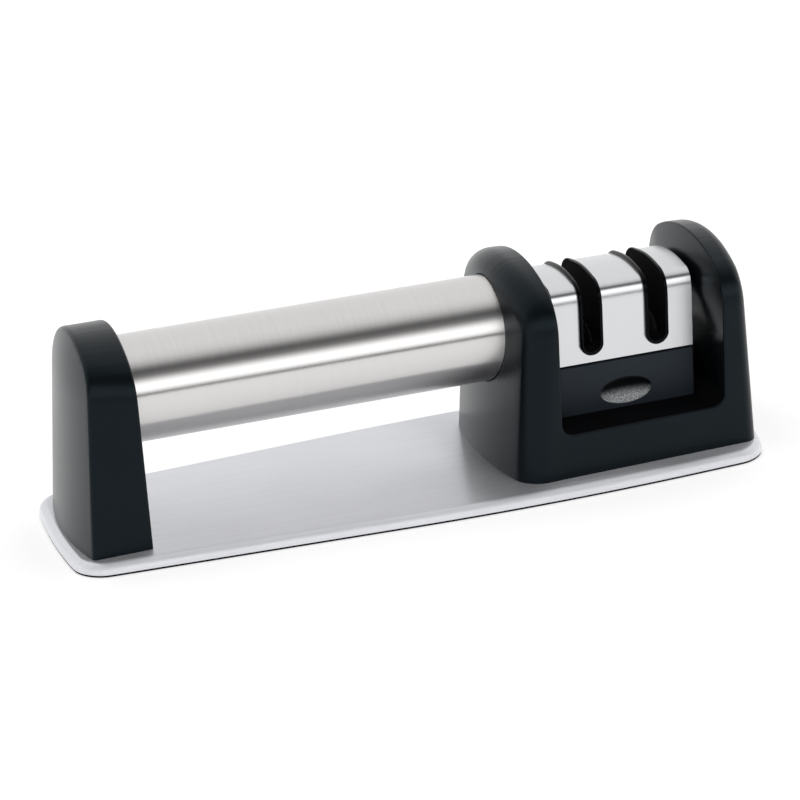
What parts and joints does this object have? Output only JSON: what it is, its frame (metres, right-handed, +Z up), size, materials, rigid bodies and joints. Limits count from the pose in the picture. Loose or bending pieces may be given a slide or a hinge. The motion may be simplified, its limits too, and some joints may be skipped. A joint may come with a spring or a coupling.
{
  "type": "knife sharpener",
  "caption": "Countertop pull-through knife sharpener: steel tray base, tube handle between a plastic post and a U-shaped cradle, and a lift-out cartridge with a coarse and a fine wheel slot.",
  "frame": {"origin": "middle of the base's footprint, on the surface it stands on", "axes": "+X along the tube handle from the post to the cartridge, +Y to the back, +Z up"},
  "size_m": [0.2056, 0.07, 0.0618],
  "materials": {
    "tray_steel": "brushed along the length",
    "tube_steel": "fine brushed",
    "cover_steel": "satin",
    "black_plastic": "satin black",
    "panel_plastic": "matte black",
    "liner_plastic": "gloss black",
    "inner_plastic": "plain moulded",
    "pad_rubber": "matte",
    "screw_steel": "zinc plated",
    "axle_steel": "black oxide",
    "coarse_grit": "diamond coated",
    "fine_ceramic": "matte"
  },
  "bodies": {
    "base": {"base_plate": "tray_steel", "base_core": "inner_plastic", "base_pad": "pad_rubber", "post_screw_front": "screw_steel", "post_screw_back": "screw_steel", "housing_screw_tube_front": "screw_steel", "housing_screw_tube_back": "screw_steel", "housing_screw_end_front": "screw_steel", "housing_screw_end_back": "screw_steel", "end_post": "black_plastic", "handle_tube": "tube_steel", "tube_plug_post": "inner_plastic", "tube_plug_housing": "inner_plastic", "plug_screw_post": "screw_steel", "plug_screw_housing": "screw_steel", "housing": "black_plastic"},
    "cartridge": {"cartridge_body": "panel_plastic", "cartridge_cover": "cover_steel", "slot_guide_coarse": "liner_plastic", "slot_guide_fine": "liner_plastic", "coarse_spacer_left": "inner_plastic", "coarse_spacer_right": "inner_plastic", "fine_spacer_left": "inner_plastic", "fine_spacer_right": "inner_plastic", "wheel_axle": "axle_steel", "cartridge_floor": "inner_plastic", "cartridge_screw_front": "screw_steel", "cartridge_screw_back": "screw_steel"},
    "coarse_wheels": {"coarse_wheel_left": "coarse_grit", "coarse_wheel_right": "coarse_grit"},
    "fine_wheels": {"fine_wheel_left": "fine_ceramic", "fine_wheel_right": "fine_ceramic"}
  },
  "joints": [
    {"name": "cartridge_lift", "type": "slide", "parent": "base", "child": "cartridge", "axis": [0, 0, 1], "range_m": [0, 0.055]},
    {"name": "coarse_spin", "type": "hinge", "parent": "cartridge", "child": "coarse_wheels", "pos_m": [0.05215, 0, 0.0299], "axis": [1, 0, 0], "continuous": true},
    {"name": "fine_spin", "type": "hinge", "parent": "cartridge", "child": "fine_wheels", "pos_m": [0.07205, 0, 0.0299], "axis": [1, 0, 0], "continuous": true}
  ]
}
